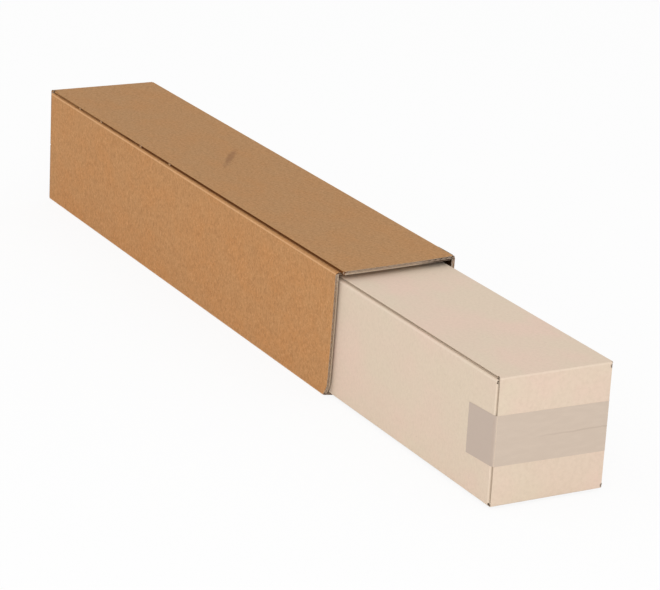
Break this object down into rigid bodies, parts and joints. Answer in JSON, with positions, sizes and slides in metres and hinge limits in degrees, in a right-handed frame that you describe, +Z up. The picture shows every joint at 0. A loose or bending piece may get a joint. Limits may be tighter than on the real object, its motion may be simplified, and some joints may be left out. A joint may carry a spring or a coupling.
{
  "type": "square mailing tube",
  "caption": "Telescoping square mailing tube of corrugated board: a pale taped inner half slides in a brown outer half, each folded from one sheet and closed at its far end.",
  "frame": {"origin": "on the floor, under the middle of the tube as it is pulled out in the picture", "axes": "+X along the tube from the closed end of the outer half to the closed end of the inner half, +Z up, the glued seams at the top of the -Y side"},
  "size_m": [0.9864, 0.133, 0.133],
  "materials": {
    "kraft_board": "matt brown kraft liner with faint fibre mottling",
    "pale_board": "matt pale buff liner",
    "packing_tape": "thin tan film, slightly glossy"
  },
  "bodies": {
    "outer": {"outer_half": "kraft_board"},
    "inner": {"inner_half": "pale_board", "inner_end_tape": "packing_tape"}
  },
  "joints": [
    {"name": "inner_half_slide", "type": "slide", "parent": "outer", "child": "inner", "axis": [1, 0, 0], "range_m": [-0.279, 0.44]}
  ]
}
